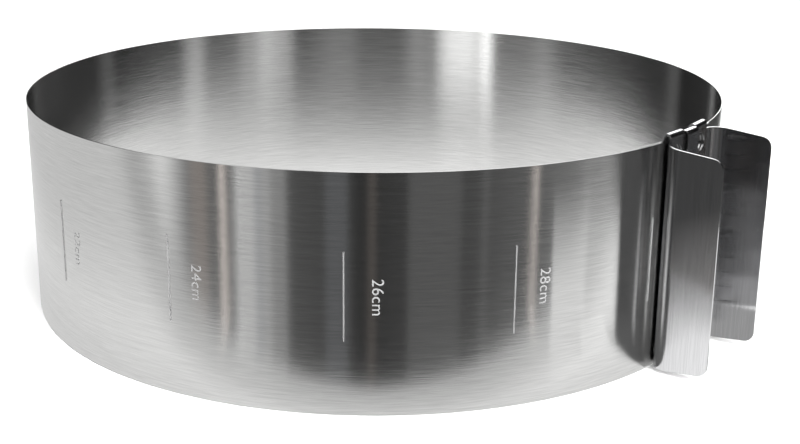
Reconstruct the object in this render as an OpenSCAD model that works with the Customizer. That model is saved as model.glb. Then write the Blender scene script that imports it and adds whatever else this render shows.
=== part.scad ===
// Adjustable cake ring: one long steel strip, closed by a clasp that is
// pinched to let the strip slide. The ring stands on z = 0 with its axis on
// the Z axis, and the clasp's middle is at +X. Looking at the clasp from
// outside, the left grip is at -Y and the right grip at +Y.

/* [Ring] */
// Outer diameter that the ring is set to, as its scale reads
ring_d = 300; // [220:5:320]
// Height of the band
band_h = 90; // [75:1:120]
// Thickness of the band's strip
band_t = 0.4; // [0.3:0.05:0.6]
// Angle from the clasp's middle back to the strip's inner end
inner_end_deg = 12.5; // [9:0.5:20]
// Angle from the clasp's middle on to the strip's outer end
outer_end_deg = 8.5; // [7:0.5:10]
// Angle at which the strip's first stretch has reached the outer circle
lead_in_deg = 50; // [40:1:80]
// Gap between the two layers at the strip's outer end
layer_gap = 0.08; // [0.05:0.01:0.2]
// Radius of the strip's corners at its two ends
strip_corner_r = 3; // [1:0.5:6]

/* [Grips] */
// Thickness of the sheet that the grips and the saddle are bent from
sheet_t = 0.7; // [0.5:0.05:1]
// Gap between a grip's foot and the band
foot_gap = 0.25; // [0.15:0.05:0.5]
// Distance from the clasp's middle to the toe of each foot
toe_y = 5.2; // [5:0.1:6.5]
// Distance from the clasp's middle to the start of each grip's bend
foot_y = 14.2; // [13.5:0.1:20]
// Outer radius of the bend from the foot to the wing
bend_r = 7.8; // [5:0.1:10]
// How far the wing stands out from the band
wing_reach = 24.4; // [18:0.2:35]
// Radius of the wing's outer corners
wing_corner_r = 4.5; // [2:0.5:8]
// Gap between a grip's lower edge and the ring's base, at the foot
foot_lift = 0.8; // [0.5:0.1:3]
// Gap between the rim and the grip's upper edge, where the wing begins
foot_drop = 0.6; // [0.3:0.1:2]
// How much the wing's lower edge rises towards its outer corner
wing_rise = 2.7; // [0:0.1:6]
// How much the wing's upper edge falls towards its outer corner
wing_fall = 1.9; // [0:0.1:6]
// Radius of the round holes in the feet
foot_hole_r = 3.4; // [1.5:0.1:3.4]
// Distance from the clasp's middle to the middle of each hole
foot_hole_y = 10.5; // [9.5:0.1:10.5]
// Distance from the rim to the middle of each upper hole
foot_hole_drop = 5.3; // [4.5:0.1:6.5]

/* [Hooks] */
// Outer radius of the grips' hooks over the rim
grip_hook_r = 1.85; // [1.85:0.05:2.5]
// Height of the grips' hooks above the rim
grip_hook_rise = 2.6; // [2.2:0.1:4]
// Distance from the clasp's middle to the outer end of each grip's hook
grip_hook_y = 15.6; // [14.5:0.1:16]
// How far the grips' hooks reach down inside the band
grip_hook_leg = 5; // [1:0.5:10]

/* [Saddle] */
// Width of the saddle
saddle_w = 9; // [7:0.1:9.2]
// Gap between the saddle and the grips' hinge tabs below it
saddle_gap = 0.3; // [0.25:0.05:0.6]
// Gap between the rim and the underside of the saddle's bend
saddle_rim_gap = 0.1; // [0.05:0.05:0.5]
// Distance from the base to the lower ends of the saddle's legs
saddle_lift = 1; // [0.5:0.5:6]
// Gap between the saddle's inner leg and the strip it is welded to
weld_gap = 0.05; // [0.02:0.01:0.1]

/* [Hinge] */
// Radius of the hinge pin
pin_r = 1; // [0.8:0.05:1.2]
// Running clearance between the pin and the knuckles' bores
pin_gap = 0.05; // [0.03:0.01:0.1]
// Length of each knuckle
knuckle_l = 6; // [4:0.5:7]
// Gap between neighbouring knuckles
knuckle_gap = 0.4; // [0.2:0.1:0.6]
// Radius of the pin's head
pin_head_r = 1.7; // [1.4:0.1:2]
// Thickness of the pin's head
pin_head_t = 0.8; // [0.5:0.1:1.5]

/* [Springs] */
// Diameter of the spring wire
wire_d = 0.6; // [0.4:0.05:0.6]
// Number of turns in each spring
spring_turns = 8; // [4:1:8]
// Pitch of the turns
spring_pitch = 1.1; // [1.05:0.01:1.1]
// Gap between the pin and the inside of the turns
spring_gap = 0.2; // [0.15:0.05:0.25]
// Distance from the clasp's middle to the tip of each spring leg
spring_leg_y = 9.5; // [8:0.1:11]
// Gap between a spring leg's tip and the foot it presses on
spring_leg_gap = 0.4; // [0.36:0.02:0.6]
// Height of the room for each spring between the knuckles
spring_room = 12; // [11:0.5:13]

/* [Hidden] */

// Roundness of large and small curves
ring_fn = 360;
small_fn = 64;
bend_steps = 48;
// How far a cutting shape runs past what it cuts
over = 1;

steel = [0.78, 0.79, 0.80];
grip_steel = [0.66, 0.67, 0.69];
wire_steel = [0.55, 0.56, 0.58];

ring_r = ring_d / 2;

// The strip's first stretch is an arc of slightly smaller radius that touches
// the outer circle at lead_in_deg and falls inside it towards the inner end.
// It is rounded up to a micrometre, so that the two arcs meet exactly.
micron = 0.001;
lead_drop = micron * ceil((band_t + layer_gap) / (1 - cos(lead_in_deg - outer_end_deg)) / micron);
lead_r = ring_r - lead_drop;
// Distance from the ring's axis to the first stretch's outer face
function lead_face_r(angle) =
    lead_drop * cos(lead_in_deg - angle)
    + sqrt(lead_r * lead_r - pow(lead_drop * sin(lead_in_deg - angle), 2));

// Angle on the band of a distance from the clasp's middle
function at_y(y) = asin(y / ring_r);

// Each grip's foot is flat. It lies along the band at this angle from the
// clasp's middle, and its own frame has its X axis there.
foot_w = foot_y - toe_y;
foot_deg = at_y((toe_y + foot_y) / 2);
foot_in_x = ring_r + foot_gap;
foot_out_x = foot_in_x + sheet_t;
bend_c = [foot_in_x + bend_r, -foot_w / 2];
wing_out_x = ring_r + wing_reach;
foot_top_z = band_h - foot_drop;
// Distance of a foot's outer face from the ring's middle plane x = 0
function foot_face_x(y) = (foot_out_x - abs(y) * sin(foot_deg)) / cos(foot_deg);

// Hinge axis: the knuckles bite slightly into the hinge tabs' inner faces
knuckle_r = pin_r + pin_gap + sheet_t;
knuckle_bite = sheet_t / 14;
foot_pin_x = foot_in_x + knuckle_r - knuckle_bite;
pin_x = foot_pin_x / cos(foot_deg);
window_y = knuckle_r + knuckle_gap;

// Faces of the saddle's two flat legs
saddle_in_x = foot_face_x(window_y) + saddle_gap;
saddle_out_x = saddle_in_x + sheet_t;
saddle_deg = at_y(saddle_w / 2);
inner_leg_out_x = (lead_face_r(-saddle_deg) - band_t) * cos(saddle_deg) - weld_gap;
inner_leg_in_x = inner_leg_out_x - sheet_t;
saddle_hook_r = (saddle_out_x - inner_leg_in_x) / 2;
saddle_hook_c = [(saddle_out_x + inner_leg_in_x) / 2, band_h + saddle_rim_gap];

// Heights above and below the clasp's mid height of what is on the pin
mid_z = band_h / 2;
room_z = knuckle_l / 2 + knuckle_gap;
first_z = room_z + spring_room + knuckle_gap;
second_z = first_z + knuckle_l + knuckle_gap;
end_z = second_z + knuckle_l + knuckle_gap;
pin_half_l = end_z + knuckle_l;
head_room = pin_head_t + 2 * knuckle_gap;

// Spring coil and legs
wire_r = wire_d / 2;
coil_r = pin_r + spring_gap + wire_r;
wire_sides = 6;
turn_steps = 8;
leg_tip = [foot_face_x(spring_leg_y) + spring_leg_gap + wire_r, -spring_leg_y];
leg_v = [leg_tip[0] - pin_x, leg_tip[1]];
leg_start_deg = atan2(leg_v[1], leg_v[0]) + acos(coil_r / norm(leg_v));
coil_sweep = 360 * spring_turns - 2 * leg_start_deg;
coil_h = spring_pitch * coil_sweep / 360;

// A section in the X-Z plane drawn out along Y between two places
module drawn(from_y, to_y) {
    translate([0, to_y, 0])
        rotate([90, 0, 0])
            linear_extrude(height = to_y - from_y)
                children();
}

// Section of an upright sheet between two faces and two heights
module sheet_section(in_x, out_x, low_z, high_z) {
    translate([in_x, low_z])
        square([out_x - in_x, high_z - low_z]);
}

// Section of a sheet bent half round over the rim, with one leg inside the
// band and one outside that end at heights of their own
module hook_section(center, out_r, in_leg_z, out_leg_z) {
    in_r = out_r - sheet_t;
    low_z = min(in_leg_z, out_leg_z);
    difference() {
        union() {
            translate(center)
                circle(r = out_r, $fn = small_fn);
            sheet_section(center[0] - out_r, center[0] + out_r, low_z, center[1]);
        }
        translate(center)
            circle(r = in_r, $fn = small_fn);
        sheet_section(center[0] - in_r, center[0] + in_r, low_z - over, center[1]);
        sheet_section(center[0] - out_r - over, center[0], low_z - over, in_leg_z);
        sheet_section(center[0], center[0] + out_r + over, low_z - over, out_leg_z);
    }
}

// What is cut from the corner of an end at the origin to leave it rounded
module corner_cut(r) {
    difference() {
        translate([-over, -over])
            square([r + over, r + over]);
        translate([r, r])
            circle(r = r, $fn = small_fn);
    }
}

// Cutter for the two corners of a strip's end at y = 0, with the strip
// standing across x and running on towards +Y
module strip_end_cut(x, depth) {
    translate([x - depth, 0, 0])
        rotate([90, 0, 90])
            linear_extrude(height = 2 * depth) {
                corner_cut(strip_corner_r);
                translate([0, band_h])
                    mirror([0, 1])
                        corner_cut(strip_corner_r);
            }
}

// Angle of the inner end from the first stretch's joint, seen from that
// stretch's own centre
function lead_sweep() =
    let (deg = lead_in_deg + inner_end_deg)
    let (r = lead_face_r(-inner_end_deg))
    atan2(r * sin(deg), r * cos(deg) - lead_drop);

// Stretch of the strip with the given outer radius, from the X axis on
module strip_arc(out_r, sweep) {
    rotate_extrude(angle = sweep, $fn = ring_fn)
        sheet_section(out_r - band_t, out_r, 0, band_h);
}

// The whole strip: its first stretch under the clasp, then the outer circle.
// Its frame has its X axis where the two meet.
module band() {
    color(steel)
        rotate([0, 0, lead_in_deg])
            difference() {
                union() {
                    translate([lead_drop, 0, 0])
                        mirror([0, 1, 0])
                            strip_arc(lead_r, lead_sweep());
                    strip_arc(ring_r, 360 + outer_end_deg - lead_in_deg);
                }
                translate([lead_drop, 0, 0])
                    rotate([0, 0, -lead_sweep()])
                        strip_end_cut(lead_r - band_t / 2, band_t / 2 + layer_gap);
            }
}

// One knuckle on the Z axis, before its bore is cut
module knuckle() {
    cylinder(r = knuckle_r, h = knuckle_l, $fn = small_fn);
}

// Bore for the pin through all that stands between the two end knuckles
module pin_bore() {
    translate([pin_x, 0, mid_z - pin_half_l])
        cylinder(r = pin_r + pin_gap, h = 2 * pin_half_l, $fn = small_fn);
}

// Opening in the saddle's outer leg, between two heights
module saddle_window(low_z, high_z) {
    translate([saddle_in_x - over, -window_y, low_z])
        cube([sheet_t + 2 * over, 2 * window_y, high_z - low_z]);
}

// U-shaped saddle over the rim: its inner leg is welded to the strip's inner
// end, and its outer leg carries the hinge pin in three knuckles
module saddle() {
    color(grip_steel)
        difference() {
            union() {
                difference() {
                    drawn(-saddle_w / 2, saddle_w / 2)
                        hook_section(saddle_hook_c, saddle_hook_r, saddle_lift, saddle_lift);
                    saddle_window(mid_z + knuckle_l / 2, mid_z + end_z);
                    saddle_window(mid_z - end_z, mid_z - knuckle_l / 2);
                    saddle_window(mid_z + pin_half_l, mid_z + pin_half_l + head_room);
                    saddle_window(mid_z - pin_half_l - head_room, mid_z - pin_half_l);
                }
                for (low_z = [mid_z + end_z, mid_z - knuckle_l / 2, mid_z - end_z - knuckle_l])
                    translate([pin_x, 0, low_z])
                        knuckle();
            }
            pin_bore();
        }
}

// Points on the left grip's bend, from the foot to the wing or back
function bend_points(r, from_deg, to_deg) =
    [for (i = [0 : bend_steps])
        let (a = from_deg + (to_deg - from_deg) * i / bend_steps)
        bend_c + r * [cos(a), sin(a)]];

// Foot, bend and wing seen from above, in the left foot's own frame. The wing
// runs a little too far, and the side outline trims it.
module grip_plan() {
    wing_deg = 270 + foot_deg;
    wing_v = (wing_reach + over) * [cos(foot_deg), sin(foot_deg)];
    outer = bend_points(bend_r, 180, wing_deg);
    inner = bend_points(bend_r - sheet_t, wing_deg, 180);
    polygon(concat(
        [[foot_in_x, foot_w / 2]],
        outer,
        [outer[bend_steps] + wing_v, inner[0] + wing_v],
        inner,
        [[foot_out_x, foot_w / 2]]
    ));
}

// Point on the line from a to b, at a distance from a
function along(a, b, d) = a + d * (b - a) / norm(b - a);

// Angle between two edges that meet at b
function corner_angle(a, b, c) =
    acos((a - b) * (c - b) / (norm(a - b) * norm(c - b)));

// Centre of the round that fits the corner at b
function round_center(a, b, c, r) =
    let (half = corner_angle(a, b, c) / 2)
    let (mid = along(b, a, r) + along(b, c, r) - 2 * b)
    b + mid / norm(mid) * r / sin(half);

// Side outline of the grip: level along the foot, tapering to rounded corners
module grip_outline() {
    in_x = ring_r / 2;
    low_in = [ring_r, foot_lift];
    low_out = [wing_out_x, foot_lift + wing_rise];
    high_out = [wing_out_x, foot_top_z - wing_fall];
    high_in = [ring_r, foot_top_z];
    low_cut = wing_corner_r / tan(corner_angle(low_in, low_out, high_out) / 2);
    high_cut = wing_corner_r / tan(corner_angle(high_in, high_out, low_out) / 2);
    polygon([
        [in_x, foot_lift],
        low_in,
        along(low_out, low_in, low_cut),
        along(low_out, high_out, low_cut),
        along(high_out, low_out, high_cut),
        along(high_out, high_in, high_cut),
        high_in,
        [in_x, foot_top_z]
    ]);
    translate(round_center(low_in, low_out, high_out, wing_corner_r))
        circle(r = wing_corner_r, $fn = small_fn);
    translate(round_center(high_in, high_out, low_out, wing_corner_r))
        circle(r = wing_corner_r, $fn = small_fn);
}

// The left grip: foot along the band, hook over the rim, bend, wing, and
// hinge tabs with their knuckles at the given heights
module grip(tab_low_zs) {
    hook_c = [foot_out_x - grip_hook_r, band_h + grip_hook_rise - grip_hook_r];
    middle_y = (toe_y + foot_y) / 2;
    pin_y = pin_x * sin(foot_deg);
    color(grip_steel)
        difference() {
            rotate([0, 0, -foot_deg])
                difference() {
                    union() {
                        intersection() {
                            linear_extrude(height = band_h)
                                grip_plan();
                            rotate([0, 0, foot_deg])
                                drawn(-ring_r, ring_r)
                                    grip_outline();
                        }
                        drawn(middle_y - grip_hook_y, foot_w / 2)
                            hook_section(hook_c, grip_hook_r, band_h - grip_hook_leg, foot_top_z - sheet_t);
                        for (low_z = tab_low_zs)
                            translate([0, 0, low_z]) {
                                drawn(foot_w / 2 - sheet_t, pin_y)
                                    sheet_section(foot_in_x, foot_out_x, 0, knuckle_l);
                                translate([foot_pin_x, pin_y, 0])
                                    knuckle();
                            }
                    }
                    for (z = [foot_hole_drop, band_h - foot_hole_drop])
                        translate([foot_in_x - over, middle_y - foot_hole_y, z])
                            rotate([0, 90, 0])
                                cylinder(r = foot_hole_r, h = sheet_t + 2 * over, $fn = small_fn);
                }
            pin_bore();
        }
}

module left_grip() {
    grip([mid_z + second_z, mid_z - first_z - knuckle_l]);
}

module right_grip() {
    mirror([0, 1, 0])
        grip([mid_z + first_z, mid_z - second_z - knuckle_l]);
}

// Pin through all knuckles, with a head above and a riveted end below
module hinge_pin() {
    low_z = mid_z - pin_half_l - knuckle_gap;
    high_z = mid_z + pin_half_l + knuckle_gap;
    color(wire_steel)
        translate([pin_x, 0, 0]) {
            translate([0, 0, low_z])
                cylinder(r = pin_r, h = high_z - low_z, $fn = small_fn);
            translate([0, 0, high_z])
                cylinder(r = pin_head_r, h = pin_head_t, $fn = small_fn);
            translate([0, 0, low_z - pin_head_t])
                cylinder(r = pin_head_r, h = pin_head_t, $fn = small_fn);
        }
}

// Places along the spring wire: a straight leg, the coil and the other leg.
// Each is [point, angle of the ring's radial side, slope of the wire].
coil_steps = ceil(coil_sweep / 360 * turn_steps);
coil_slope = atan(spring_pitch / (2 * PI * coil_r));
function coil_point(a, z) = [pin_x + coil_r * cos(a), coil_r * sin(a), z];
function spring_places(low_z) = concat(
    [[[leg_tip[0], leg_tip[1], low_z], leg_start_deg, 0]],
    [for (i = [0 : coil_steps])
        let (share = i / coil_steps)
        let (a = leg_start_deg + coil_sweep * share)
        [coil_point(a, low_z + coil_h * share), a, (i == 0 || i == coil_steps) ? 0 : coil_slope]],
    [[[leg_tip[0], -leg_tip[1], low_z + coil_h], leg_start_deg + coil_sweep, 0]]
);

// Ring of points round one place of the wire
function wire_ring(place) =
    let (a = place[1])
    let (side = [cos(a), sin(a), 0])
    let (up = [sin(a) * sin(place[2]), -cos(a) * sin(place[2]), cos(place[2])])
    [for (k = [0 : wire_sides - 1])
        let (turn = 360 * k / wire_sides)
        place[0] + wire_r * (cos(turn) * side + sin(turn) * up)];

// Least gap between neighbouring turns, measured on the wire's places
function turn_gap(places) =
    min([for (i = [1 : len(places) - 2 - turn_steps])
        for (j = [i + turn_steps - 1 : min(i + turn_steps + 1, len(places) - 2)])
            norm(places[i][0] - places[j][0])]) - wire_d;

// One torsion spring round the pin, from its lower leg to its upper leg
module spring(low_z) {
    places = spring_places(low_z);
    rings = len(places);
    points = [for (place = places) each wire_ring(place)];
    sides = [for (i = [0 : rings - 2]) for (k = [0 : wire_sides - 1])
        let (next = (k + 1) % wire_sides)
        let (a = i * wire_sides + k)
        let (b = i * wire_sides + next)
        let (c = (i + 1) * wire_sides + next)
        let (d = (i + 1) * wire_sides + k)
        each [[a, b, c], [a, c, d]]];
    last = (rings - 1) * wire_sides;
    caps = [for (k = [1 : wire_sides - 2])
        each [[0, k + 1, k], [last, last + k, last + k + 1]]];
    echo(least_turn_gap = turn_gap(places));
    color(wire_steel)
        polyhedron(points = points, faces = concat(sides, caps));
}

spring_low_z = (spring_room - coil_h) / 2;

module upper_spring() {
    spring(mid_z + room_z + spring_low_z);
}

module lower_spring() {
    spring(mid_z - room_z - spring_room + spring_low_z);
}

band();
saddle();
left_grip();
right_grip();
hinge_pin();
upper_spring();
lower_spring();
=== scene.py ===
"""Looks of the adjustable cake ring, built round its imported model.

Everything is in metres in the model's own frame: the ring stands on z = 0,
its axis is the Z axis, and the clasp's middle is at +X.
"""

import math

import bmesh
import bpy
from mathutils import Matrix, Vector


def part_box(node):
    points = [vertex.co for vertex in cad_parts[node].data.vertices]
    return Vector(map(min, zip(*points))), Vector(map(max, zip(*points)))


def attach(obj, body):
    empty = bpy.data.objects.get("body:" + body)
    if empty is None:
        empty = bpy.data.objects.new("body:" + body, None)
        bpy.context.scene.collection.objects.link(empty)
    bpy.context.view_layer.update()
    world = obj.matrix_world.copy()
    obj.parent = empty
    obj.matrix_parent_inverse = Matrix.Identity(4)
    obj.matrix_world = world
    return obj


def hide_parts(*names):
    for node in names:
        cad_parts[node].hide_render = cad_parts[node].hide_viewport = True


MM = 0.001

# The strip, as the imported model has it
RING_R = 150 * MM
BAND_T = 0.4 * MM
BAND_H = 90 * MM
LEAD_IN_DEG = 50
OUTER_END_DEG = 8.5
INNER_END_DEG = 12.5
LAYER_GAP = 0.08 * MM
LEAD_DROP = (BAND_T + LAYER_GAP) / (1 - math.cos(math.radians(LEAD_IN_DEG - OUTER_END_DEG)))
LEAD_R = RING_R - LEAD_DROP
RIM_BEVEL = 0.11 * MM
RIM_BEVEL_STEPS = 3
# The first step of the spin is short, at the strip's inner end
END_STEP_DEG = 1.7
LEAD_STEPS = 80
RING_STEPS = 420

# The engraved scale. The marks stand at these degrees round the ring from the clasp's middle.
FIRST_MARK_CM = 22
MARK_STEP_CM = 2
MARK_DEGS = (-106.5, -82.2, -56.7, -33.2, -8.7)
MARK_LOW = 28.3 * MM
MARK_HIGH = 61.6 * MM
MARK_W = 0.62 * MM
LABEL_OFFSET = 9.9 * MM
LABEL_SIZE = 6.0 * MM
LABEL_SPACING = 1.06
ENGRAVING_OUT = 0.03 * MM
ENGRAVING_IN = 0.08 * MM
MARK_END_R = 0.28 * MM
MARK_END_STEPS = 4

# The clasp's sheet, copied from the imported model
EDGE_BEVEL = 0.1 * MM
EDGE_BEVEL_STEPS = 2
EDGE_BEVEL_DEG = 35
CAD_MERGE_DIST = 0.002 * MM
SAME_PLANE_DEG = 0.4

# The springs. The tip of each leg stands off the flat outer face of a grip's foot.
PIN_X = 152.269 * MM
WIRE_R = 0.3 * MM
COIL_R = 1.5 * MM
SPRING_PITCH = 1.1 * MM
SPRING_TURNS = 8
WIRE_SIDES = 12
TURN_STEPS = 24
FOOT_MIDDLE_Y = 9.7 * MM
FOOT_FACE = 150.95 * MM
FOOT_TURN = math.asin(FOOT_MIDDLE_Y / RING_R)
LEG_GAP = 0.4 * MM
LEG_TIP_Y = 9.5 * MM
LEG_TIP_X = (FOOT_FACE - LEG_TIP_Y * math.sin(FOOT_TURN)) / math.cos(FOOT_TURN) + LEG_GAP + WIRE_R

# Modelling
MERGE_DIST = 0.001 * MM
BAND_SMOOTH_DEG = 35
CLASP_SMOOTH_DEG = 40
FLAT_FACE_WEIGHT = 100

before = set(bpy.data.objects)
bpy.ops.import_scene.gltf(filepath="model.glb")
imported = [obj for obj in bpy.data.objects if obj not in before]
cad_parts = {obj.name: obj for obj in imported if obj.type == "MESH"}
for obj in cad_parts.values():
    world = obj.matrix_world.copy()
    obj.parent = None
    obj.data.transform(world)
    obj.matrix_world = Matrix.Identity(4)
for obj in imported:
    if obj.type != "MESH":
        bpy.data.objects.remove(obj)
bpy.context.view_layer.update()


# Modelling helpers

def deselect_all():
    """Leave nothing selected and no object active."""
    if bpy.context.mode != "OBJECT":
        bpy.ops.object.mode_set(mode="OBJECT")
    bpy.ops.object.select_all(action="DESELECT")
    bpy.context.view_layer.objects.active = None


def pick(piece):
    """Make one object the only selected and active one."""
    deselect_all()
    piece.select_set(True)
    bpy.context.view_layer.objects.active = piece


def settle(piece):
    """Put the piece's place, turn and scale into its mesh."""
    pick(piece)
    bpy.ops.object.transform_apply(location=True, rotation=True, scale=True)


def apply_modifiers(piece):
    """Apply all of the piece's modifiers, in their order."""
    pick(piece)
    for name in [m.name for m in piece.modifiers]:
        bpy.ops.object.modifier_apply(modifier=name)


def edit(piece, mode="VERT"):
    """Open one object in edit mode, selecting by vertex, edge or face."""
    pick(piece)
    bpy.ops.object.mode_set(mode="EDIT")
    bpy.ops.mesh.select_mode(type=mode)


def leave_edit():
    """Go back to object mode."""
    bpy.ops.object.mode_set(mode="OBJECT")


def select_edges(piece, test):
    """Select, in edit mode, the piece's edges that test is true for."""
    bpy.ops.mesh.select_all(action="DESELECT")
    mesh = bmesh.from_edit_mesh(piece.data)
    for edge in mesh.edges:
        if test(edge):
            edge.select_set(True)
    mesh.select_flush(True)
    bmesh.update_edit_mesh(piece.data)


def smooth(piece, angle_deg):
    """Smooth shading that keeps flat faces flat and sharp edges sharp."""
    pick(piece)
    bpy.ops.object.shade_smooth_by_angle(angle=math.radians(angle_deg))
    weighted = piece.modifiers.new("flat_faces", "WEIGHTED_NORMAL")
    weighted.keep_sharp = True
    weighted.weight = FLAT_FACE_WEIGHT
    bpy.ops.object.modifier_apply(modifier=weighted.name)


def finish_piece(piece, name, body, slot, material, *nodes):
    """Name and dress a piece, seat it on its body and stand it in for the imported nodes."""
    piece.name = name
    piece.data.name = name
    piece.data.materials.clear()
    piece.data.materials.append(material)
    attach(piece, body)
    if nodes:
        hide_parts(*nodes)
    return piece


# Materials. The noise of the grain is mixed from fine scratches and a share of coarse ones.
FINE_DETAIL = 1.5
COARSE_SCALE = 0.3
COARSE_SHARE = 0.35


def group_tree(name, inputs, outputs):
    """A shader node group with named sockets, and its input and output nodes."""
    tree = bpy.data.node_groups.new(name, "ShaderNodeTree")
    for label, kind, value in inputs:
        socket = tree.interface.new_socket(label, in_out="INPUT", socket_type=kind)
        socket.default_value = value
    for label, kind in outputs:
        tree.interface.new_socket(label, in_out="OUTPUT", socket_type=kind)
    return tree, tree.nodes.new("NodeGroupInput"), tree.nodes.new("NodeGroupOutput")


def math_node(tree, operation, a, b=None):
    """A sum on numbers or node outputs."""
    node = tree.nodes.new("ShaderNodeMath")
    node.operation = operation
    for place, value in ((0, a), (1, b)):
        if value is None:
            continue
        if isinstance(value, (int, float)):
            node.inputs[place].default_value = value
        else:
            tree.links.new(value, node.inputs[place])
    return node.outputs[0]


def brushed_grain():
    """Fine scratches that all run one way.

    Vector holds coordinates already stretched along the grain, so that one
    unit across it is about one scratch.
    """
    tree, given, out = group_tree(
        "brushed_grain",
        [
            ("Vector", "NodeSocketVector", (0, 0, 0)),
            ("Base Roughness", "NodeSocketFloat", 0.4),
            ("Roughness Spread", "NodeSocketFloat", 0.1),
            ("Shade Spread", "NodeSocketFloat", 0.1),
        ],
        [
            ("Height", "NodeSocketFloat"),
            ("Roughness", "NodeSocketFloat"),
            ("Shade", "NodeSocketFloat"),
        ],
    )
    fine = tree.nodes.new("ShaderNodeTexNoise")
    fine.inputs["Scale"].default_value = 1.0
    fine.inputs["Detail"].default_value = FINE_DETAIL
    fine.inputs["Roughness"].default_value = 0.5
    coarse = tree.nodes.new("ShaderNodeTexNoise")
    coarse.inputs["Scale"].default_value = COARSE_SCALE
    coarse.inputs["Detail"].default_value = 1.0
    for noise in (fine, coarse):
        tree.links.new(given.outputs["Vector"], noise.inputs["Vector"])
    fine_off = math_node(tree, "SUBTRACT", fine.outputs["Fac"], 0.5)
    coarse_off = math_node(tree, "SUBTRACT", coarse.outputs["Fac"], 0.5)
    coarse_off = math_node(tree, "MULTIPLY", coarse_off, COARSE_SHARE)
    mixed = math_node(tree, "ADD", fine_off, coarse_off)
    rough = math_node(tree, "MULTIPLY", mixed, given.outputs["Roughness Spread"])
    rough = math_node(tree, "ADD", rough, given.outputs["Base Roughness"])
    shade = math_node(tree, "MULTIPLY", mixed, given.outputs["Shade Spread"])
    shade = math_node(tree, "ADD", shade, 1.0)
    tree.links.new(math_node(tree, "ADD", fine_off, 0.5), out.inputs["Height"])
    tree.links.new(rough, out.inputs["Roughness"])
    tree.links.new(shade, out.inputs["Shade"])
    return tree


GRAIN = brushed_grain()


def brushed_steel(
    name, color, roughness, stretch, spreads, relief, anisotropy=0.0, turn=0.0, metallic=1.0
):
    """Steel with a one-way grain.

    stretch is the pattern's scale per metre along X, Y and Z, spreads how far
    roughness and shade vary, and relief the strength and height of the bumps.
    """
    material = bpy.data.materials.new(name)
    material.use_nodes = True
    tree = material.node_tree
    shader = tree.nodes["Principled BSDF"]
    shader.inputs["Metallic"].default_value = metallic
    shader.inputs["Anisotropic"].default_value = anisotropy
    shader.inputs["Anisotropic Rotation"].default_value = turn
    place = tree.nodes.new("ShaderNodeTexCoord")
    mapping = tree.nodes.new("ShaderNodeMapping")
    mapping.inputs["Scale"].default_value = stretch
    tree.links.new(place.outputs["Object"], mapping.inputs["Vector"])
    grain = tree.nodes.new("ShaderNodeGroup")
    grain.node_tree = GRAIN
    grain.inputs["Base Roughness"].default_value = roughness
    grain.inputs["Roughness Spread"].default_value = spreads[0]
    grain.inputs["Shade Spread"].default_value = spreads[1]
    tree.links.new(mapping.outputs["Vector"], grain.inputs["Vector"])
    tint = tree.nodes.new("ShaderNodeVectorMath")
    tint.operation = "SCALE"
    tint.inputs[0].default_value = color
    tree.links.new(grain.outputs["Shade"], tint.inputs["Scale"])
    tree.links.new(tint.outputs["Vector"], shader.inputs["Base Color"])
    tree.links.new(grain.outputs["Roughness"], shader.inputs["Roughness"])
    bump = tree.nodes.new("ShaderNodeBump")
    bump.inputs["Strength"].default_value = relief[0]
    bump.inputs["Distance"].default_value = relief[1]
    tree.links.new(grain.outputs["Height"], bump.inputs["Height"])
    tree.links.new(bump.outputs["Normal"], shader.inputs["Normal"])
    return material


BAND_STEEL = brushed_steel(
    "band_steel",
    color=(0.84, 0.84, 0.83),
    roughness=0.145,
    stretch=(90, 90, 3200),
    spreads=(0.04, 0.32),
    relief=(1.0, 0.02 * MM),
    anisotropy=1.0,
    turn=0.25,
)
CLASP_STEEL = brushed_steel(
    "clasp_steel",
    color=(0.9, 0.9, 0.91),
    roughness=0.12,
    stretch=(2600, 2600, 80),
    spreads=(0.05, 0.25),
    relief=(1.0, 0.02 * MM),
    anisotropy=1.0,
)
PIN_STEEL = brushed_steel(
    "pin_steel",
    color=(0.62, 0.62, 0.63),
    roughness=0.3,
    stretch=(3000, 3000, 400),
    spreads=(0.08, 0.06),
    relief=(0.1, 0.01 * MM),
)
SPRING_STEEL = brushed_steel(
    "spring_steel",
    color=(0.55, 0.55, 0.57),
    roughness=0.32,
    stretch=(900, 900, 900),
    spreads=(0.08, 0.06),
    relief=(0.1, 0.01 * MM),
)
ENGRAVING = brushed_steel(
    "engraved_steel",
    color=(0.245, 0.245, 0.245),
    roughness=0.7,
    stretch=(4000, 4000, 4000),
    spreads=(0.1, 0.3),
    relief=(0.3, 0.02 * MM),
    metallic=0.0,
)


# The strip

def lead_sweep():
    """Angle of the strip's first stretch, seen from that stretch's own centre."""
    angle = math.radians(LEAD_IN_DEG + INNER_END_DEG)
    face_r = LEAD_DROP * math.cos(angle) + math.sqrt(LEAD_R**2 - (LEAD_DROP * math.sin(angle)) ** 2)
    return math.atan2(face_r * math.sin(angle), face_r * math.cos(angle) - LEAD_DROP)


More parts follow.
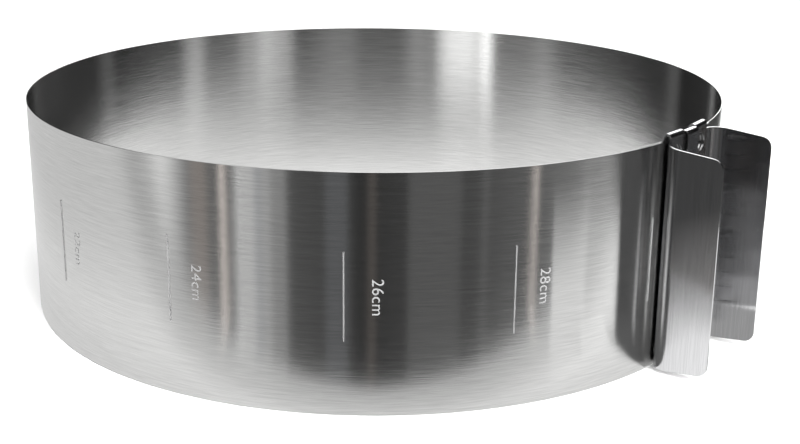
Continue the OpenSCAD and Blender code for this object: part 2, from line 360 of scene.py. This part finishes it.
def make_band():
    """The strip's section, bevelled at the rims and spun from its inner to its outer end."""
    deselect_all()
    lead_in = math.radians(LEAD_IN_DEG)
    sweep = lead_sweep()
    centre = LEAD_DROP * Vector((math.cos(lead_in), math.sin(lead_in), 0))
    bpy.ops.mesh.primitive_plane_add(size=1, rotation=(math.pi / 2, 0, 0))
    strip = bpy.context.active_object
    strip.scale = (BAND_T, BAND_H, 1)
    strip.location = (LEAD_R - BAND_T / 2, 0, BAND_H / 2)
    settle(strip)
    edit(strip)
    bpy.ops.mesh.select_all(action="SELECT")
    bpy.ops.mesh.bevel(offset=RIM_BEVEL, segments=RIM_BEVEL_STEPS, affect="VERTICES")
    leave_edit()
    strip.rotation_euler = (0, 0, lead_in - sweep)
    strip.location = centre
    settle(strip)
    end_step = math.radians(END_STEP_DEG)
    edit(strip, "FACE")
    bpy.ops.mesh.select_all(action="SELECT")
    up = (0, 0, 1)
    bpy.ops.mesh.spin(steps=1, angle=-end_step, center=centre, axis=up)
    bpy.ops.mesh.spin(steps=LEAD_STEPS, angle=end_step - sweep, center=centre, axis=up)
    turn = math.radians(360 + OUTER_END_DEG - LEAD_IN_DEG)
    bpy.ops.mesh.spin(steps=RING_STEPS, angle=-turn, center=(0, 0, 0), axis=up)
    bpy.ops.mesh.select_all(action="SELECT")
    bpy.ops.mesh.remove_doubles(threshold=MERGE_DIST)
    bpy.ops.mesh.normals_make_consistent(inside=False)
    leave_edit()
    return strip


band = make_band()
smooth(band, BAND_SMOOTH_DEG)
finish_piece(band, "steel_band", "ring", "band_steel", BAND_STEEL, "band")


# The engraved scale

def wrap_on_band(piece):
    """Lay a flat piece on the outside of the band: X goes round it, Y up, Z out."""
    for vertex in piece.data.vertices:
        along, up, out = vertex.co
        angle = along / RING_R
        radius = RING_R + out
        vertex.co = (radius * math.cos(angle), radius * math.sin(angle), up)


def join_pieces(pieces):
    """Make one object of several."""
    deselect_all()
    for piece in pieces:
        piece.select_set(True)
    bpy.context.view_layer.objects.active = pieces[0]
    bpy.ops.object.join()
    return bpy.context.active_object


def mark_along(index):
    """How far round the band's outside a mark stands from the clasp's middle."""
    return math.radians(MARK_DEGS[index]) * RING_R


def make_mark(index):
    """One engraved line, rounded at its ends."""
    deselect_all()
    bpy.ops.mesh.primitive_cube_add(size=1)
    mark = bpy.context.active_object
    mark.scale = (MARK_W, MARK_HIGH - MARK_LOW, ENGRAVING_IN + ENGRAVING_OUT)
    mark.location = (mark_along(index), (MARK_LOW + MARK_HIGH) / 2, (ENGRAVING_OUT - ENGRAVING_IN) / 2)
    settle(mark)
    edit(mark, "EDGE")
    select_edges(mark, lambda e: abs(e.verts[0].co.z - e.verts[1].co.z) > ENGRAVING_OUT)
    bpy.ops.mesh.bevel(offset=MARK_END_R, segments=MARK_END_STEPS)
    leave_edit()
    wrap_on_band(mark)
    return mark


def make_label(index):
    """The diameter in centimetres, reading downwards beside its mark."""
    deselect_all()
    bpy.ops.object.text_add()
    label = bpy.context.active_object
    label.data.body = f"{FIRST_MARK_CM + MARK_STEP_CM * index}cm"
    label.data.align_x = "CENTER"
    label.data.size = LABEL_SIZE
    label.data.space_character = LABEL_SPACING
    label.data.extrude = (ENGRAVING_IN + ENGRAVING_OUT) / 2
    label.rotation_euler = (0, 0, -math.pi / 2)
    label.location = (
        mark_along(index) + LABEL_OFFSET,
        (MARK_LOW + MARK_HIGH) / 2,
        (ENGRAVING_OUT - ENGRAVING_IN) / 2,
    )
    bpy.ops.object.convert(target="MESH")
    label = bpy.context.active_object
    settle(label)
    wrap_on_band(label)
    edit(label)
    bpy.ops.mesh.select_all(action="SELECT")
    bpy.ops.mesh.remove_doubles(threshold=MERGE_DIST)
    bpy.ops.mesh.normals_make_consistent(inside=False)
    leave_edit()
    return label


marks = join_pieces([make_mark(i) for i in range(len(MARK_DEGS))])
finish_piece(marks, "scale_marks", "ring", "band_steel", ENGRAVING)
labels = join_pieces([make_label(i) for i in range(len(MARK_DEGS))])
finish_piece(labels, "scale_numbers", "ring", "band_steel", ENGRAVING)


# The clasp's sheet pieces

def dress_node(node, name, body, slot, material):
    """A copy of a CAD node with its sharp edges broken."""
    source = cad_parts[node]
    piece = source.copy()
    piece.data = source.data.copy()
    piece.parent = None
    for key in list(piece.keys()):
        if key.startswith("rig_"):
            del piece[key]
    bpy.context.scene.collection.objects.link(piece)
    edit(piece)
    bpy.ops.mesh.select_all(action="SELECT")
    bpy.ops.mesh.customdata_custom_splitnormals_clear()
    bpy.ops.mesh.remove_doubles(threshold=CAD_MERGE_DIST)
    bpy.ops.mesh.dissolve_limited(angle_limit=math.radians(SAME_PLANE_DEG))
    leave_edit()
    broken = piece.modifiers.new("broken_edges", "BEVEL")
    broken.width = EDGE_BEVEL
    broken.segments = EDGE_BEVEL_STEPS
    broken.limit_method = "ANGLE"
    broken.angle_limit = math.radians(EDGE_BEVEL_DEG)
    broken.miter_outer = "MITER_ARC"
    apply_modifiers(piece)
    smooth(piece, CLASP_SMOOTH_DEG)
    return finish_piece(piece, name, body, slot, material, node)


dress_node("left_grip", "left_grip_sheet", "left_lever", "clasp_steel", CLASP_STEEL)
dress_node("right_grip", "right_grip_sheet", "right_lever", "clasp_steel", CLASP_STEEL)
dress_node("saddle", "saddle_sheet", "ring", "clasp_steel", CLASP_STEEL)
dress_node("hinge_pin", "pin", "ring", "pin_steel", PIN_STEEL)


# The springs

def edge_near(edge, point):
    """True for an edge whose middle lies within one and a half wire radii of point."""
    return ((edge.verts[0].co + edge.verts[1].co) / 2 - point).length < 1.5 * WIRE_R


def make_spring(node):
    """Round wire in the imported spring's own form: a leg, the coil and a leg."""
    low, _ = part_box(node)
    start_z = low.z + WIRE_R
    leg = Vector((LEG_TIP_X - PIN_X, -LEG_TIP_Y, 0))
    start = math.atan2(leg.y, leg.x) + math.acos(COIL_R / leg.length)
    sweep = 2 * math.pi * SPRING_TURNS - 2 * start
    rise = SPRING_PITCH * sweep / (2 * math.pi)
    coil_start = Vector((COIL_R * math.cos(start), COIL_R * math.sin(start), 0))
    deselect_all()
    bpy.ops.mesh.primitive_circle_add(vertices=WIRE_SIDES, radius=WIRE_R, rotation=(math.pi / 2, 0, 0))
    wire = bpy.context.active_object
    wire.location = (COIL_R, 0, 0)
    settle(wire)
    wire.rotation_euler = (0, 0, start)
    settle(wire)
    coil = wire.modifiers.new("coil", "SCREW")
    coil.angle = sweep
    coil.screw_offset = rise
    coil.steps = coil.render_steps = TURN_STEPS * SPRING_TURNS
    coil.use_merge_vertices = False
    apply_modifiers(wire)
    leg_run = leg - coil_start
    for at_end, run in ((False, leg_run), (True, Vector((leg_run.x, -leg_run.y, 0)))):
        middle = Vector((coil_start.x, -coil_start.y, rise)) if at_end else coil_start
        edit(wire, "EDGE")
        select_edges(wire, lambda e: e.is_boundary and edge_near(e, middle))
        bpy.ops.mesh.extrude_region_move(TRANSFORM_OT_translate={"value": run})
        bpy.ops.mesh.fill()
        leave_edit()
    edit(wire)
    bpy.ops.mesh.select_all(action="SELECT")
    bpy.ops.mesh.normals_make_consistent(inside=False)
    leave_edit()
    wire.location = (PIN_X, 0, start_z)
    settle(wire)
    pick(wire)
    bpy.ops.object.shade_smooth_by_angle(angle=math.radians(CLASP_SMOOTH_DEG))
    return finish_piece(wire, node + "_wire", "ring", "spring_steel", SPRING_STEEL, node)


make_spring("upper_spring")
make_spring("lower_spring")


# Stage. Directions are in degrees round the ring's axis from the clasp, and FRONT_DEG is the
# camera's. Brightness is 1 where a perfect mirror would show full white.
FRONT_DEG = -52.5
NEUTRAL = (1.0, 1.0, 1.0)
WARM = (1.0, 0.90, 0.84)
COOL = (0.97, 0.99, 1.03)

# The studio that reflections see: (direction, brightness)
STUDIO = [
    (-180, 0.54), (-145, 0.6), (-122, 0.8), (-115, 0.3), (-112, 0.15), (-103, 0.13), (-80, 0.13),
    (-79.5, 0.08), (-60, 0.055), (-58, 0.03), (-47, 0.045), (-20, 0.07), (-9, 0.1), (0, 0.12),
    (12, 0.16), (20, 0.2), (25, 0.25), (29, 0.1), (40, 0.06), (170, 0.05), (180, 0.05),
]
# How it darkens with a direction's rise, and the bright ceiling over it:
# (from, to, first level, last level)
STUDIO_RISE = (-0.02, 0.06, 1.0, 0.12)
CEILING_RISE = (0.6, 0.75, 0.0, 1.1)
# The share that is left of it in a reflection of a reflection, as painted shade
STUDIO_REPEAT_SHADE = 0.08
# The even light that the ring and the floor get from all round
SOFT_LIGHT = 0.35

# Upright strips far away: (first direction, last direction, brightness, colour)
STRIP_FAR = 30
STRIP_LOW = -25
STRIP_HIGH = 3
STRIPS = [
    (-111.5, -106, 0.24, WARM),
    (-101.2, -100.0, 1.2, WARM),
    (-97.5, -95.8, 0.34, NEUTRAL),
    (-95.6, -94.7, 0.9, NEUTRAL),
    (-94.5, -90, 0.52, NEUTRAL),
    (-90, -88, 0.34, COOL),
    (-88, -85, 0.38, NEUTRAL),
    (-85, -80, 0.25, NEUTRAL),
    (-68, -61, 0.11, COOL),
    (-54.8, -52.4, 0.09, WARM),
    (-42.5, -26, 0.1, NEUTRAL),
    (-19.5, -17.5, 0.12, NEUTRAL),
    (-2.6, -1.6, 1.1, WARM),
]
# A high card that lights the upper rims: (first direction, last direction, low, high, brightness)
RIM_CARD = (92, 130, 4, 20, 2.0)

# The table's top is a little below the ring, and its edges are where reflections stop seeing it
FLOOR_SIZE = 12
FLOOR_DROP = 0.2 * MM
TABLE_EDGE = 0.174
TABLE_EDGE_SLOPE = 0.12
TABLE_SIDE = 0.3
# The table's brightness in reflections, painted rather than lit; inside the ring, close round it and just
# in front of it, it is painted shade: (from, to, first level, last level)
FLOOR_INSIDE_SHADE = (-0.13, 0.08, 1.0, 0.16)
FLOOR_OUTSIDE = (-0.3, -0.05, 0.6, 0.94)
FLOOR_RING_SHADE = (0.155, 0.19, 0.84, 1.0)
FLOOR_FRONT_SHADE = (0.145, 0.165, 1.0, 0.65)
# The table's share in a reflection of a reflection, as painted shade
FLOOR_REPEAT_SHADE = 0.14

# A dark card beside the near wing that paints shade into its reflection, and a glowing card that paints a
# highlight on its bend:
# (name, start, end, low, high, brightness, how it fades with height)
CLASP_CARDS = [
    # Painted shade in the near wing's reflection; its lower part lets the table show through
    ("wing_shade_card", (0.1455, -0.038), (0.225, -0.44), -0.08, 0.09, 0.05, (0.0, 0.055, 0.0, 1.0)),
    # Painted highlight on the near wing's bend
    ("bend_highlight_card", (0.175, -0.066), (0.175, -0.045), 0.0, 0.07, 0.75, (0.025, 0.07, 1.0, 0.0)),
]
# A dim card on the floor between the wings: painted shade of the wings in the table's reflection
GAP_START = 0.149
GAP_END = 0.190
GAP_SIDE = 0.021
GAP_FLOOR_Z = 0.3 * MM
GAP_SHADE_GLOW = 0.32

# Painted reflection of the inside of the opposite wall, as the strip's own inside sees it: (direction,
# brightness)
CURTAIN_R = 0.146
CURTAIN_LOW = 0.5 * MM
CURTAIN_HIGH = 89 * MM
CURTAIN_STEPS = 180
WALL_REFLECTION = [
    (-180, 0.035), (-161, 0.06), (-148, 0.23), (-136, 0.12), (-118.5, 0.14), (-116, 1.6), (-112.5, 1.7),
    (-110, 0.8), (-104, 1.25), (-92, 1.15), (-88, 0.75), (-84, 0.2), (-75, 0.3), (-66, 0.08),
    (-45, 0.08), (-38, 0.18), (-28, 0.18), (-14, 0.06), (-8, 0.07), (-5, 0.36), (10, 0.64), (16, 0.34),
    (22, 0.28), (27, 0.1), (43, 0.05), (49, 0.36), (54, 0.34), (62, 0.03), (106, 0.02), (110, 0.1),
    (116, 0.1), (122, 0.035),
]
# The painted reflection is lighter at the sheet's foot: (from, to, first level, last level)
WALL_REFLECTION_FOOT = (0.0, 0.035, 0.12, 0.0)

# Square lamps that look at the ring's middle: (name, place, side, watts)
LAMPS = [
    ("top_softbox", (0.2, -0.3, 2.2), 2.4, 70),
    ("side_softbox", (1.6, -0.7, 0.9), 1.0, 60),
]

CAMERA_PLACE = (0.3596, -0.4687, 0.2108)
CAMERA_LOOK = (-0.5664, 0.7679, -0.2992)
CAMERA_ROLL = 0.0101
CAMERA_LENS = 60.89
CAMERA_SENSOR = 36
CAMERA_NEAR = 0.01


def matte_material(name, color):
    """Plain colour with no shine."""
    material = bpy.data.materials.new(name)
    material.use_nodes = True
    shader = material.node_tree.nodes["Principled BSDF"]
    shader.inputs["Base Color"].default_value = (*color, 1)
    shader.inputs["Roughness"].default_value = 0.9
    shader.inputs["Specular IOR Level"].default_value = 0.0
    return material


def map_range(tree, value, low, high, to_low, to_high):
    """Value going from to_low to to_high while it goes from low to high, and held beyond."""
    node = tree.nodes.new("ShaderNodeMapRange")
    for label, number in (("From Min", low), ("From Max", high), ("To Min", to_low), ("To Max", to_high)):
        node.inputs[label].default_value = number
    tree.links.new(value, node.inputs["Value"])
    return node.outputs["Result"]


def polar(radius, degrees, z=0.0):
    """The place at a distance from the ring's axis, in a direction."""
    return (radius * math.cos(math.radians(degrees)), radius * math.sin(math.radians(degrees)), z)


def dot_node(tree, vector, direction):
    """How far vector reaches in a direction."""
    node = tree.nodes.new("ShaderNodeVectorMath")
    node.operation = "DOT_PRODUCT"
    tree.links.new(vector, node.inputs[0])
    node.inputs[1].default_value = direction
    return node.outputs["Value"]


def mix_shaders(tree, factor, first, second):
    """The first shader at factor 0 and the second one at factor 1."""
    node = tree.nodes.new("ShaderNodeMixShader")
    tree.links.new(factor, node.inputs["Fac"])
    tree.links.new(first, node.inputs[1])
    tree.links.new(second, node.inputs[2])
    return node.outputs["Shader"]


def repeat_dim(tree, rays, dimmed):
    """1 for a first reflection and dimmed for a reflection of a reflection, whose depth is 2 or more. The
    dimming is painted shade in reflections of reflections.
    """
    repeated = math_node(tree, "GREATER_THAN", rays.outputs["Glossy Depth"], 1.5)
    return map_range(tree, repeated, 0.0, 1.0, 1.0, dimmed)


def make_floor():
    """Pale floor.

    Reflections see it as a table of painted light that ends a little in front of the ring. Painted shade
    darkens it inside the ring towards the near wall, close round the ring and just in front of it. Past
    the table's edge they see the studio.
    """
    deselect_all()
    bpy.ops.mesh.primitive_plane_add(size=FLOOR_SIZE, location=(0, 0, -FLOOR_DROP))
    floor = bpy.context.active_object
    floor.name = "floor"
    material = matte_material("pale_floor", (0.92, 0.92, 0.92))
    tree = material.node_tree
    place = tree.nodes.new("ShaderNodeTexCoord").outputs["Object"]
    forward = dot_node(tree, place, polar(1, FRONT_DEG))
    sideways = dot_node(tree, place, polar(1, FRONT_DEG + 90))
    away = tree.nodes.new("ShaderNodeVectorMath")
    away.operation = "LENGTH"
    tree.links.new(place, away.inputs[0])
    # Painted shade on the table's reflection: inside the ring towards the near wall, outside close round
    # the ring and just in front of it
    inner = map_range(tree, forward, *FLOOR_INSIDE_SHADE)
    outer = map_range(tree, sideways, *FLOOR_OUTSIDE)
    outer = math_node(tree, "MULTIPLY", outer, map_range(tree, away.outputs["Value"], *FLOOR_RING_SHADE))
    outer = math_node(tree, "MULTIPLY", outer, map_range(tree, forward, *FLOOR_FRONT_SHADE))
    outside = math_node(tree, "GREATER_THAN", away.outputs["Value"], RING_R)
    seen = tree.nodes.new("ShaderNodeMix")
    tree.links.new(outside, seen.inputs["Factor"])
    tree.links.new(inner, seen.inputs["A"])
    tree.links.new(outer, seen.inputs["B"])
    rays = tree.nodes.new("ShaderNodeLightPath")
    glow = tree.nodes.new("ShaderNodeEmission")
    strength = math_node(tree, "MULTIPLY", seen.outputs["Result"], repeat_dim(tree, rays, FLOOR_REPEAT_SHADE))
    tree.links.new(strength, glow.inputs["Strength"])
    bowed = math_node(tree, "MULTIPLY", math_node(tree, "ABSOLUTE", sideways), TABLE_EDGE_SLOPE)
    past_front = math_node(tree, "GREATER_THAN", math_node(tree, "SUBTRACT", forward, bowed), TABLE_EDGE)
    past_side = math_node(tree, "GREATER_THAN", sideways, TABLE_SIDE)
    past_edge = math_node(tree, "MAXIMUM", past_front, past_side)
    clear = tree.nodes.new("ShaderNodeBsdfTransparent").outputs["BSDF"]
    reflected = mix_shaders(tree, past_edge, glow.outputs["Emission"], clear)
    matte = tree.nodes["Principled BSDF"].outputs["BSDF"]
    shown = mix_shaders(tree, rays.outputs["Is Glossy Ray"], matte, reflected)
    tree.links.new(shown, tree.nodes["Material Output"].inputs["Surface"])
    floor.data.materials.append(material)


def reflected_card(name, corners, faces, material):
    """A card that only reflections see, from the side that its faces look to."""
    mesh = bpy.data.meshes.new(name)
    mesh.from_pydata(corners, [], faces)
    card = bpy.data.objects.new(name, mesh)
    bpy.context.scene.collection.objects.link(card)
    card.data.materials.append(material)
    card.visible_camera = False
    card.visible_diffuse = False
    card.visible_shadow = False
    card.visible_transmission = False


def upright_corners(start, end, low, high):
    """Corners of an upright card that looks to the left of the way from start to end."""
    return [(*end, low), (*start, low), (*start, high), (*end, high)]


def split_place(tree, kind="Object"):
    """X, Y and Z of the shaded place, or of the direction for the world."""
    split = tree.nodes.new("ShaderNodeSeparateXYZ")
    tree.links.new(tree.nodes.new("ShaderNodeTexCoord").outputs[kind], split.inputs["Vector"])
    return split.outputs


def glow_material(name, color, strength, fade=None):
    """A plain glow whose back is clear. fade maps the height to how much of the glow is there."""
    material = bpy.data.materials.new(name)
    material.use_nodes = True
    tree = material.node_tree
    tree.nodes.remove(tree.nodes["Principled BSDF"])
    glow = tree.nodes.new("ShaderNodeEmission")
    glow.inputs["Color"].default_value = (*color, 1)
    glow.inputs["Strength"].default_value = strength
    clear = tree.nodes.new("ShaderNodeBsdfTransparent").outputs["BSDF"]
    shown = glow.outputs["Emission"]
    if fade:
        shown = mix_shaders(tree, map_range(tree, split_place(tree)["Z"], *fade), clear, shown)
    geometry = tree.nodes.new("ShaderNodeNewGeometry")
    shown = mix_shaders(tree, geometry.outputs["Backfacing"], shown, clear)
    tree.links.new(shown, tree.nodes["Material Output"].inputs["Surface"])
    return material


def make_cards():
    """Small cards round the clasp: two upright ones, a dark one of painted shade and a glowing one of
    painted highlight, and one on the floor between the wings of painted shade.
    """
    for name, start, end, low, high, bright, fade in CLASP_CARDS:
        material = glow_material(name, NEUTRAL, bright, fade)
        reflected_card(name, upright_corners(start, end, low, high), [(0, 1, 2, 3)], material)
    sides = ((GAP_START, -GAP_SIDE), (GAP_END, -GAP_SIDE), (GAP_END, GAP_SIDE), (GAP_START, GAP_SIDE))
    corners = [(x, y, GAP_FLOOR_Z) for x, y in sides]
    # Painted shade of the wings on the table between them
    material = glow_material("gap_floor_shade", NEUTRAL, GAP_SHADE_GLOW)
    reflected_card("gap_floor_shade", corners, [(0, 1, 2, 3)], material)


def far_card(name, start, end, low, high, bright, color):
    """An upright card far away, between two directions."""
    corners = upright_corners(polar(STRIP_FAR, start)[:2], polar(STRIP_FAR, end)[:2], low, high)
    reflected_card(name, corners, [(0, 1, 2, 3)], glow_material(name, color, bright))


def make_strips():
    """The bright strips of the studio and the high card for the rims, as reflections see them."""
    for place, (start, end, bright, color) in enumerate(STRIPS):
        far_card(f"studio_strip_{place}", start, end, STRIP_LOW, STRIP_HIGH, bright, color)
    far_card("rim_card", *RIM_CARD, NEUTRAL)


def turn_share(tree, x, y):
    """Angle round the ring's axis as a share of a full turn, starting at -X."""
    azimuth = math_node(tree, "ARCTAN2", y, x)
    return math_node(tree, "ADD", math_node(tree, "MULTIPLY", azimuth, 1 / (2 * math.pi)), 0.5)


def inner_wall_reflection():
    """What the far wall's reflection sees of the wall opposite: a painted reflection on a glowing sheet.

    It stands just inside the strip, and only reflections coming from the
    ring's middle see it.
    """
    turns = [360 * i / CURTAIN_STEPS for i in range(CURTAIN_STEPS)]
    points = [polar(CURTAIN_R, turn, z) for turn in turns for z in (CURTAIN_LOW, CURTAIN_HIGH)]
    count = len(points)
    faces = [(i, i + 1, (i + 3) % count, (i + 2) % count) for i in range(0, count, 2)]
    material = glow_material("wall_reflection_glow", NEUTRAL, 1)
    tree = material.node_tree
    place = split_place(tree)
    ramp = ramp_node(tree, WALL_REFLECTION)
    tree.links.new(turn_share(tree, place["X"], place["Y"]), ramp.inputs["Fac"])
    foot = map_range(tree, place["Z"], *WALL_REFLECTION_FOOT)
    lit = tree.nodes.new("ShaderNodeVectorMath")
    lit.operation = "ADD"
    tree.links.new(ramp.outputs["Color"], lit.inputs[0])
    tree.links.new(foot, lit.inputs[1])
    tree.links.new(lit.outputs["Vector"], tree.nodes["Emission"].inputs["Color"])
    reflected_card("inner_wall_reflection", points, faces, material)


def add_lamp(name, place, side, watts):
    """A square lamp that looks at the ring's middle and that reflections don't see."""
    light = bpy.data.lights.new(name, "AREA")
    light.shape = "SQUARE"
    light.size = side
    light.energy = watts
    lamp = bpy.data.objects.new(name, light)
    bpy.context.scene.collection.objects.link(lamp)
    lamp.location = place
    lamp.rotation_euler = (-Vector(place)).to_track_quat("-Z", "Y").to_euler()
    lamp.visible_glossy = False


def ramp_node(tree, stops):
    """A ramp from (angle in degrees, brightness) stops."""
    ramp = tree.nodes.new("ShaderNodeValToRGB")
    ramp.color_ramp.interpolation = "LINEAR"
    elements = ramp.color_ramp.elements
    for place, (angle, bright) in enumerate(stops):
        at = (angle + 180) / 360
        element = elements[place] if place < 2 else elements.new(at)
        element.position = at
        element.color = (bright, bright, bright, 1)
    return ramp


def make_world():
    """White to the camera, a dim studio by direction to reflections, and even soft light to the rest."""
    world = bpy.data.worlds.new("studio")
    bpy.context.scene.world = world
    world.use_nodes = True
    tree = world.node_tree
    direction = split_place(tree, "Generated")
    ramp = ramp_node(tree, STUDIO)
    tree.links.new(turn_share(tree, direction["X"], direction["Y"]), ramp.inputs["Fac"])
    upper = tree.nodes.new("ShaderNodeVectorMath")
    upper.operation = "SCALE"
    tree.links.new(ramp.outputs["Color"], upper.inputs[0])
    rays = tree.nodes.new("ShaderNodeLightPath")
    rise = map_range(tree, direction["Z"], *STUDIO_RISE)
    level = math_node(tree, "MULTIPLY", rise, repeat_dim(tree, rays, STUDIO_REPEAT_SHADE))
    tree.links.new(level, upper.inputs["Scale"])
    glossy = tree.nodes.new("ShaderNodeMix")
    glossy.data_type = "RGBA"
    glossy.inputs["A"].default_value = (SOFT_LIGHT, SOFT_LIGHT, SOFT_LIGHT, 1)
    tree.links.new(rays.outputs["Is Glossy Ray"], glossy.inputs["Factor"])
    ceiling = tree.nodes.new("ShaderNodeVectorMath")
    ceiling.operation = "ADD"
    tree.links.new(upper.outputs["Vector"], ceiling.inputs[0])
    tree.links.new(map_range(tree, direction["Z"], *CEILING_RISE), ceiling.inputs[1])
    tree.links.new(ceiling.outputs["Vector"], glossy.inputs["B"])
    seen = tree.nodes.new("ShaderNodeMix")
    seen.data_type = "RGBA"
    tree.links.new(rays.outputs["Is Camera Ray"], seen.inputs["Factor"])
    tree.links.new(glossy.outputs["Result"], seen.inputs["A"])
    seen.inputs["B"].default_value = (1, 1, 1, 1)
    tree.links.new(seen.outputs["Result"], tree.nodes["Background"].inputs["Color"])


def make_camera():
    """The photographer's place and lens."""
    camera = bpy.data.cameras.new("camera")
    camera.sensor_width = CAMERA_SENSOR
    camera.lens = CAMERA_LENS
    camera.clip_start = CAMERA_NEAR
    viewer = bpy.data.objects.new("camera", camera)
    bpy.context.scene.collection.objects.link(viewer)
    roll = Matrix.Rotation(CAMERA_ROLL, 4, "Z")
    turn = Vector(CAMERA_LOOK).to_track_quat("-Z", "Y").to_matrix().to_4x4() @ roll
    viewer.matrix_world = Matrix.Translation(CAMERA_PLACE) @ turn
    bpy.context.scene.camera = viewer


make_floor()
make_strips()
make_cards()
inner_wall_reflection()
make_world()
for name, place, side, watts in LAMPS:
    add_lamp(name, place, side, watts)
make_camera()
bpy.context.scene.view_settings.view_transform = "Standard"
